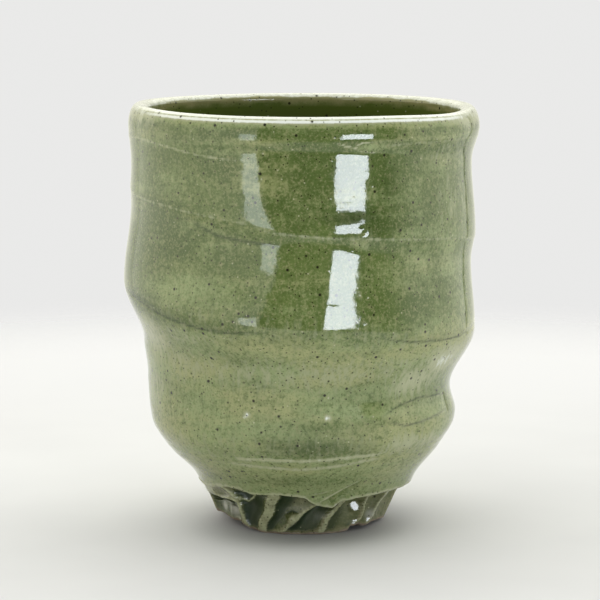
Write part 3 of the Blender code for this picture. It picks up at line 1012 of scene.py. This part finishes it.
def foot_glaze_grid(angle):
    """The glazed flutes from the bare edge up to the outer coat's edge, as radius, height and marks."""
    phi = phi_of(angle)
    top = coat_edge(angle) + COAT_LAP
    low = glaze_line(angle)
    height = low + (top - low) * np.linspace(0.0, 1.0, FOOT_ROWS)[:, None]
    radius, cut, dark = foot_face(angle, height, top)
    behind = outer_wall(angle, top[None, :])[0] - GLAZE - COAT_CLEARANCE
    radius = np.minimum(radius, mix(radius, behind, ease(top - COAT_TUCK, top, height)))

    uneven = crumbled(angle, height)
    rim = ease(low + RIM_HEIGHT, low, height)
    # Painted shade, black in the foot's undercuts and hollows
    shade_spots = spots(FOOT_PAINTED_SHADE, phi, height, FOOT_TOP_RADIUS)
    pooled_and_shaded = np.maximum(FLUTE_SHADE_AND_POOLING * dark, shade_spots)
    pale_and_lit = RIDGE_PALENESS * ease(*RIDGE_PALE, cut + uneven)
    for _, spread, paleness, points in FOOT_LINES:
        offset = from_line(points, phi, height, FOOT_TOP_RADIUS) + FOOT_LINE_CRUMBLE * uneven
        drawn = paleness * bell(offset, FOOT_LINE_TINT_SPREAD * spread)
        pale_and_lit = np.maximum(pale_and_lit, drawn)
        # A dark line is painted shade in the gouge's groove
        pooled_and_shaded = np.maximum(pooled_and_shaded * (1.0 - np.clip(FOOT_LINE_DRAINS * drawn, 0.0, 1.0)), -drawn)
    sparse_and_lit = np.maximum(ease(*RIDGE_SPARSE, cut + uneven), spots(FOOT_THINS, phi, height, FOOT_TOP_RADIUS))
    return radius, height, {
        "pale_and_lit": pale_and_lit * (1.0 - pooled_and_shaded),
        "pool_and_shade": pooled_and_shaded * (1.0 - RIM_DRAINED * rim),
        "sparse_and_lit": np.maximum(sparse_and_lit, RIM_SPARSE * rim),
        "bare": spots(FOOT_SCARS, phi, height, FOOT_TOP_RADIUS) * (1.0 - shade_spots),
    }


def foot_clay_grid(angle):
    """The clay of the foot: set back under the glaze, bare near the table, flat beneath and recessed."""
    top = coat_edge(angle) + COAT_LAP
    low = glaze_line(angle)
    worn = worn_edge(angle)
    rows = []

    def ring(radius, height):
        rows.append((radius + 0.0 * angle, height + 0.0 * angle))

    def on_foot(height, inset):
        ring(foot_face(angle, height[None, :], top)[0][0] - inset, height)

    for share in np.linspace(1.0, 0.0, FOOT_CLAY_ROWS):
        on_foot(mix(low + STEP_CLEAR, FOOT_CLAY_TOP, share), FOOT_CLAY_SET_BACK)
    on_foot(low + STEP_TOP, FOOT_CLAY_SET_BACK)
    on_foot(low + STEP_BOTTOM, BARE_SET_BACK)
    for share in (0.66, 0.33, 0.0):
        on_foot(mix(worn + FOOT_EDGE, low, share), BARE_SET_BACK)
    base = rows[-1][0]
    for turn in np.linspace(0.0, math.pi / 2.0, FOOT_EDGE_ROWS + 1)[1:]:
        ring(base - FOOT_EDGE * (1.0 - math.cos(turn)), worn + FOOT_EDGE * (1.0 - math.sin(turn)))
    for turn in np.linspace(0.0, math.pi / 2.0, FOOT_EDGE_ROWS):
        ring(RECESS_RADIUS + FOOT_EDGE * (1.0 - math.sin(turn)), FOOT_EDGE * (1.0 - math.cos(turn)))
    for share in np.linspace(0.15, 1.0, RECESS_ROWS):
        ring(RECESS_RADIUS - RECESS_DRAFT * share, mix(FOOT_EDGE, RECESS_DEPTH, share))
    for share in np.linspace(1.0, 0.0, RECESS_RINGS, endpoint=False)[1:]:
        reach = (RECESS_RADIUS - RECESS_DRAFT) * share
        ring(reach, RECESS_DEPTH + RECESS_WAVE * np.sin(reach * RECESS_WAVE_TURN))
    radius, height = zip(*rows)
    return np.array(radius), np.array(height)


def body_clay_grid(angle):
    """The clay of the body, a little behind both coats and clear of the flutes."""
    height = np.linspace(CLAY_BOTTOM, LIP_SPRING, BODY_ROWS)[:, None] + 0.0 * angle
    drawn_in = CLAY_DRAWN_IN * ease(CLAY_DRAWN_IN_BELOW, CLAY_BOTTOM, height)
    outside = thrown_radius(angle, height) - CLAY_SET_BACK - drawn_in
    bowl, bowl_height = liner_grid(angle)
    inside = bowl[::BODY_ROW_STEP] + CLAY_SET_BACK
    inside_height = np.maximum(bowl_height[::BODY_ROW_STEP], FLOOR_HEIGHT) - CLAY_SET_BACK
    crown = (outside[-1] + inside[0]) / 2.0
    crown_height = np.full(angle.shape, CUP_HEIGHT - CLAY_SET_BACK)
    return np.vstack([outside, crown, inside]), np.vstack([height, crown_height, inside_height])


def points_of(radius, height, angle):
    return np.dstack([radius * np.cos(angle), radius * np.sin(angle), height]) * MM


def placed(name, data):
    """A new object in the scene."""
    thing = bpy.data.objects.new(name, data)
    bpy.context.scene.collection.objects.link(thing)
    return thing


def turn_outwards(mesh):
    """Turns the faces of a closed mesh outwards if they face in."""
    mesh.calc_loop_triangles()
    corners = np.empty(len(mesh.loop_triangles) * 3, np.int32)
    mesh.loop_triangles.foreach_get("vertices", corners)
    places = np.empty(len(mesh.vertices) * 3)
    mesh.vertices.foreach_get("co", places)
    triangles = places.reshape(-1, 3)[corners.reshape(-1, 3)]
    if np.linalg.det(triangles).sum() < 0.0:
        mesh.flip_normals()


def loft(name, grid, material, closed=False, first_pole=None, last_pole=None, marks=None):
    """A mesh through the rows of a grid. It is closed from last row to first, or at heights on the axis."""
    rows, sides, _ = grid.shape
    index = np.arange(rows * sides).reshape(rows, sides)
    lower = index if closed else index[:-1]
    upper = np.roll(index, -1, axis=0) if closed else index[1:]
    quads = np.dstack([lower, np.roll(lower, -1, axis=1), np.roll(upper, -1, axis=1), upper]).reshape(-1, 4)
    points = [grid.reshape(-1, 3)]
    faces = quads.tolist()
    for pole, row, turned_round in ((first_pole, index[0], True), (last_pole, index[-1], False)):
        if pole is None:
            continue
        tip = sum(len(p) for p in points)
        points.append(np.array([[0.0, 0.0, pole * MM]]))
        fan = np.dstack([row, np.roll(row, -1), np.full(sides, tip)])[0]
        faces += (fan[:, ::-1] if turned_round else fan).tolist()
    mesh = bpy.data.meshes.new(name)
    mesh.from_pydata(np.vstack(points).tolist(), [], faces)
    mesh.validate()
    mesh.shade_smooth()
    turn_outwards(mesh)
    for mark, values in (marks or {}).items():
        layer = mesh.attributes.new(mark, "FLOAT", "POINT")
        spread = np.zeros(len(mesh.vertices), np.float32)
        spread[:values.size] = values.reshape(-1)
        layer.data.foreach_set("value", spread)
    mesh.materials.append(material)
    return placed(name, mesh)


def back_of(radius, height, angle):
    """The back of a coat: a coarser copy of its face, a glaze's thickness behind it."""
    keep = np.unique(np.linspace(0, len(radius) - 1, BACK_ROWS).astype(int))
    back_radius, back_height = sunk(radius, height, GLAZE)
    return points_of(back_radius[keep], back_height[keep], angle)


def shell(name, radius, height, angle, material, marks):
    """A coat that is closed from its back to its face."""
    grid = np.vstack([points_of(radius, height, angle), back_of(radius, height, angle)[::-1]])
    return loft(name, grid, material, closed=True, marks=marks)


def angles(count):
    return math.tau * np.arange(count) / count


class Nodes:
    """Makes the nodes and links of a material or a world with few words."""

    def __init__(self, owner, shader, place):
        owner.use_nodes = True
        self.owner = owner
        self.tree = owner.node_tree
        self.shader = self.tree.nodes[shader]
        self.place = self.make("TexCoord", place, {})

    def feed(self, socket, value):
        if isinstance(value, bpy.types.NodeSocket):
            self.tree.links.new(value, socket)
        elif socket.type == "RGBA":
            socket.default_value = (*value, 1.0)
        else:
            socket.default_value = value

    def make(self, kind, output, values, **settings):
        """Makes a node, feeds its sockets and returns one of its outputs."""
        node = self.tree.nodes.new("ShaderNode" + kind)
        for setting, value in settings.items():
            setattr(node, setting, value)
        for name, value in values.items():
            self.feed(node.inputs[name], value)
        return node.outputs[output]

    def shade(self, **values):
        """Feeds the shader's sockets, with _ for a space in their names."""
        for name, value in values.items():
            self.feed(self.shader.inputs[name.replace("_", " ")], value)

    def mapped(self, setting, value):
        return self.make("Mapping", "Vector", {"Vector": self.place, setting: value})

    def noise(self, size, detail=2.0, roughness=0.5, vector=None):
        """Soft noise with features of a size in millimetres."""
        values = {"Vector": vector or self.place, "Detail": detail, "Roughness": roughness}
        return self.make("TexNoise", "Fac", values | {"Scale": 1.0 / (size * MM)})

    def cells(self, size):
        """Distance from points that are scattered a size in millimetres apart."""
        return self.make("TexVoronoi", "Distance", {"Vector": self.place, "Scale": 1.0 / (size * MM)})

    def mark(self, name):
        return self.make("Attribute", "Fac", {}, attribute_name=name)

    def ramp(self, value, low, high, start=0.0, end=1.0):
        values = {"Value": value, "From Min": low, "From Max": high, "To Min": start, "To Max": end}
        return self.make("MapRange", "Result", values, interpolation_type="SMOOTHSTEP")

    def maths(self, operation, first, second):
        return self.make("Math", "Value", {0: first, 1: second}, operation=operation)

    def plus(self, first, second):
        return self.maths("ADD", first, second)

    def times(self, first, second):
        return self.maths("MULTIPLY", first, second)

    def greater(self, first, second):
        return self.maths("MAXIMUM", first, second)

    def between(self, share, first, second):
        kept = self.times(first, self.maths("SUBTRACT", 1.0, share))
        return self.plus(kept, self.times(share, second))

    def length(self, vector):
        return self.make("VectorMath", "Value", {0: vector}, operation="LENGTH")

    def blend(self, share, first, second):
        return self.make("Mix", "Result", {"Factor": share, "A": first, "B": second}, data_type="RGBA")

    def bump(self, height, distance_mm, **below):
        values = {"Height": height, "Strength": 1.0, "Distance": distance_mm * MM}
        return self.make("Bump", "Normal", values | below)


def new_material(name):
    return Nodes(bpy.data.materials.new(name), "Principled BSDF", "Object")


def make_glaze(name, base, dark, sage, tan, bare, mottle, dulled):
    """Glossy running glaze with iron specks: pale where it is thin and where light is painted, and dark
    where it pools and where shade is painted.
    """
    n = new_material(name)
    pale_and_lit = n.mark("pale_and_lit")
    pool_and_shade = n.mark("pool_and_shade")
    sparse_and_lit = n.mark("sparse_and_lit")
    scarred = n.mark("bare")
    drifts = n.noise(16.0, 3.0, 0.55)
    clouds = n.noise(6.0, 3.0, 0.6)
    tints = n.noise(18.0, 4.0, 0.6, n.mapped("Scale", (0.5, 0.5, 2.2)))
    bands = n.noise(26.0, 4.0, 0.62, n.mapped("Scale", (0.35, 0.35, 5.0)))
    runs = n.noise(1.1, 3.0, 0.6, n.mapped("Scale", (1.0, 1.0, 0.25)))
    curds = n.noise(1.05, 3.0, 0.65)
    grain = n.noise(0.5, 2.0, 0.6)

    body = n.blend(n.ramp(drifts, 0.32, 0.66), dark, base)
    thinned = n.plus(n.times(n.ramp(bands, 0.4, 0.7), 0.5), n.times(sparse_and_lit, 0.95))
    thinned = n.plus(thinned, n.ramp(clouds, 0.36, 0.68, -0.12, 0.18))
    thinned = n.plus(thinned, n.ramp(curds, 0.3, 0.7, -0.16, 0.16))
    tinted = n.plus(tints, n.times(n.mark("tan"), 0.16))
    warm = n.blend(n.ramp(tinted, 0.4, 0.62), sage, tan)
    body = n.blend(n.ramp(thinned, 0.05, 0.95), body, warm)
    streaks = n.times(n.ramp(runs, 0.42, 0.72, 0.0, 0.5), n.ramp(sparse_and_lit, 0.0, 1.0, 1.0, 0.55))
    body = n.blend(streaks, body, dark)
    for texture, low, high, tint in (
        (curds, 0.52, 0.7, CURD_PALE), (curds, 0.48, 0.32, dark),
        (grain, 0.52, 0.7, GRAIN_PALE), (grain, 0.48, 0.3, GRAIN_DARK),
    ):
        body = n.blend(n.ramp(texture, low, high, 0.0, 0.5 * mottle), body, tint)
    # Pooled glaze and painted shade go black
    body = n.blend(n.times(pool_and_shade, n.ramp(clouds, 0.2, 0.6, 0.88, 1.0)), body, POOL_AND_SHADE_BLACK)
    streaky = n.times(n.ramp(runs, 0.3, 0.7, -0.14, 0.14), n.ramp(pale_and_lit, 0.55, 0.8, 1.0, 0.45))
    broken = n.plus(pale_and_lit, streaky)
    body = n.blend(n.ramp(broken, 0.1, 0.55), body, BROKEN_PALE)
    body = n.blend(n.ramp(broken, 0.55, 1.0), body, CREAM)
    body = n.blend(n.mark("deep"), body, DEEP_GREEN)
    body = n.blend(n.times(scarred, n.ramp(clouds, 0.25, 0.55, 0.6, 1.0)), body, bare)

    small = n.cells(1.35)
    large = n.cells(3.4)
    flecks = n.cells(2.6)
    rusty = n.greater(n.ramp(small, 0.22, 0.09, 0.0, 0.55), n.ramp(large, 0.15, 0.08, 0.0, 0.6))
    body = n.blend(rusty, body, RUST)
    specks = n.greater(n.ramp(small, 0.155, 0.095, 0.0, 0.85), n.ramp(large, 0.105, 0.075, 0.0, 0.95))
    body = n.blend(specks, body, IRON)
    body = n.blend(n.ramp(flecks, 0.1, 0.04, 0.0, 0.7), body, FLECK)

    gloss = n.ramp(curds, 0.3, 0.7, 0.04, 0.09)
    relief = n.bump(n.noise(1.7), PEEL_RELIEF)
    relief = n.bump(n.ramp(flecks, 0.12, 0.05), FLECK_RELIEF, Normal=relief)
    roughness = n.plus(gloss, n.times(n.greater(pool_and_shade, scarred), dulled))
    n.shade(Base_Color=body, Roughness=roughness, IOR=GLAZE_IOR, Normal=relief)
    return n.owner


def make_clay(name, pale, toasted):
    """Bare stoneware: sandy, speckled with iron, darker where the fire reached it."""
    n = new_material(name)
    clouds = n.noise(7.0, 3.0, 0.6)
    sand = n.noise(0.5, 3.0, 0.7)
    body = n.blend(n.ramp(clouds, 0.35, 0.65), toasted, pale)
    body = n.blend(n.ramp(sand, 0.35, 0.75, 0.0, 0.5), body, toasted)
    body = n.blend(n.ramp(n.cells(1.6), 0.16, 0.08, 0.0, 0.8), body, CLAY_SPECK)
    roughness = n.ramp(sand, 0.3, 0.7, 0.65, 0.9)
    n.shade(Base_Color=body, Roughness=roughness, Normal=n.bump(sand, SAND_RELIEF))
    return n.owner


def make_table():
    """A plain pale table top with a painted shadow close under the cup, whose far edge melts into the
    backdrop.
    """
    n = new_material("table")
    away = n.length(n.place)
    body = n.blend(n.ramp(n.noise(40.0), 0.3, 0.7), *TABLE_TINTS)
    body = n.blend(n.ramp(away, TABLE_PLAIN, TABLE_FADE), body, TABLE_FAR_TINT)
    # A painted shadow on the table, darkest a little in front of the foot
    under = n.length(n.mapped("Location", (0.0, PAINTED_SHADOW_FORWARD, 0.0)))
    body = n.blend(n.ramp(under, *PAINTED_SHADOW_REACH, 0.0, PAINTED_SHADOW_DEPTH), body, PAINTED_SHADOW_TINT)
    alpha = n.ramp(away, TABLE_RADIUS, TABLE_FADE)
    n.shade(Base_Color=body, Roughness=TABLE_ROUGHNESS, Specular_IOR_Level=TABLE_SHEEN, Alpha=alpha)
    return n.owner


def dress_frame():
    """The pieces that stand for the solids, and the clay of the body, which the glaze hides."""
    around = angles(SIDES)
    radius, height, marks = outer_coat_grid(around)
    coat = shell("outer_coat", radius, height, around, make_glaze("green_glaze", *GREEN_GLAZE), marks)
    radius, height = liner_grid(around)
    grid = np.vstack([points_of(radius, height, around)[::-1], back_of(radius, height, around)])
    lining = loft(
        "liner_coat", grid, make_glaze("liner_glaze", *LINER_GLAZE),
        first_pole=FLOOR_HEIGHT, last_pole=FLOOR_HEIGHT - GLAZE,
    )

    around = angles(FOOT_SIDES)
    radius, height, marks = foot_glaze_grid(around)
    fluting = shell("flute_coat", radius, height, around, make_glaze("flute_glaze", *FLUTE_GLAZE), marks)
    foot = loft(
        "foot_clay", points_of(*foot_clay_grid(around), around), make_clay("bare_foot", *FOOT_CLAY),
        first_pole=FOOT_CLAY_TOP, last_pole=RECESS_DEPTH,
    )
    around = angles(BODY_SIDES)
    body = loft(
        "body_clay", points_of(*body_clay_grid(around), around), make_clay("stoneware", *BODY_CLAY),
        first_pole=CLAY_BOTTOM, last_pole=FLOOR_HEIGHT - CLAY_SET_BACK,
    )

    for piece, node, slot in (
        (coat, "outer_glaze", "green_glaze"),
        (lining, "liner_glaze", "liner_glaze"),
        (fluting, "foot_glaze", "flute_glaze"),
        (foot, "carved_foot", "bare_foot"),
        (body, "thrown_body", "stoneware"),
    ):
        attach(piece, "root")
        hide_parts(node)


def make_table_top():
    around = angles(TABLE_SIDES)
    radius = np.linspace(TABLE_RADIUS, TABLE_MIDDLE, TABLE_RINGS)[:, None] + 0.0 * around
    grid = np.dstack([radius * np.cos(around), radius * np.sin(around), 0.0 * radius])
    loft("table_top", grid, make_table(), last_pole=0.0)


def make_camera():
    data = bpy.data.cameras.new("camera")
    data.lens = FOCAL_LENGTH
    camera = placed("camera", data)
    camera.location = CAMERA_PLACE
    camera.rotation_euler = (math.pi / 2.0 - CAMERA_PITCH, 0.0, 0.0)
    bpy.context.scene.camera = camera


def make_panel(name, phi, width, rise, tall, radiance, tint):
    """A bright rectangle far from the cup, which the camera doesn't see."""
    data = bpy.data.lights.new(name, "AREA")
    data.shape = "RECTANGLE"
    data.size = 2.0 * LIGHT_DISTANCE * math.tan(math.radians(width / 2.0))
    data.size_y = 2.0 * LIGHT_DISTANCE * math.tan(math.radians(tall / 2.0))
    data.energy = radiance * math.pi * data.size * data.size_y
    data.color = tint
    turn, lift = math.radians(phi), math.radians(rise)
    flat = LIGHT_DISTANCE * math.cos(lift)
    above = LIGHT_DISTANCE * math.sin(lift) + LIGHT_AIM
    panel = placed(name, data)
    panel.location = (flat * math.sin(turn), -flat * math.cos(turn), above)
    panel.rotation_euler = (math.pi / 2.0 - lift, 0.0, turn)
    panel.visible_camera = False


def make_room():
    """A white room, dark in front of the cup. The camera itself sees a plain pale backdrop."""
    world = bpy.data.worlds.new("room")
    bpy.context.scene.world = world
    n = Nodes(world, "Background", "Generated")
    x, y, z = (n.make("SeparateXYZ", axis, {"Vector": n.place}) for axis in "XYZ")
    phi = n.times(n.maths("ARCTAN2", x, n.times(y, -1.0)), 180.0 / math.pi)

    def span(begins, ends):
        return n.times(n.ramp(phi, *begins), n.ramp(phi, *ends))

    sides = n.plus(span(*LEFT_WALL), span(*RIGHT_WALL))
    back = n.plus(n.ramp(phi, *BACK_WALL[0]), n.ramp(phi, *BACK_WALL[1]))
    above = n.ramp(n.plus(z, n.times(y, CEILING_TILT)), *CEILING_FROM)
    side_level = n.ramp(z, *SIDES_BRIGHTEN, ROOM_BACK, ROOM_SIDES)
    back_level = n.ramp(z, *BACK_BRIGHTENS, ROOM_BACK, ROOM_BACK_LOW)
    level = n.plus(n.times(sides, side_level), n.times(back, back_level))
    level = n.plus(level, n.times(span(*FRONT_WALL), ROOM_FRONT))
    level = n.between(above, n.greater(level, ROOM_FRONT), ROOM_ABOVE)
    seen = n.make("LightPath", "Is Camera Ray", {})
    n.shade(Strength=n.between(seen, level, BACKDROP), Color=n.blend(seen, ROOM_TINT, BACKDROP_TINT))


def main():
    for old in list(bpy.data.objects):
        bpy.data.objects.remove(old)
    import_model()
    make_camera()
    make_panel("window", *WINDOW)
    make_panel("screen_edge", *STRIP)
    make_room()
    make_table_top()
    dress_frame()
    bpy.context.scene.view_settings.view_transform = "Standard"


main()
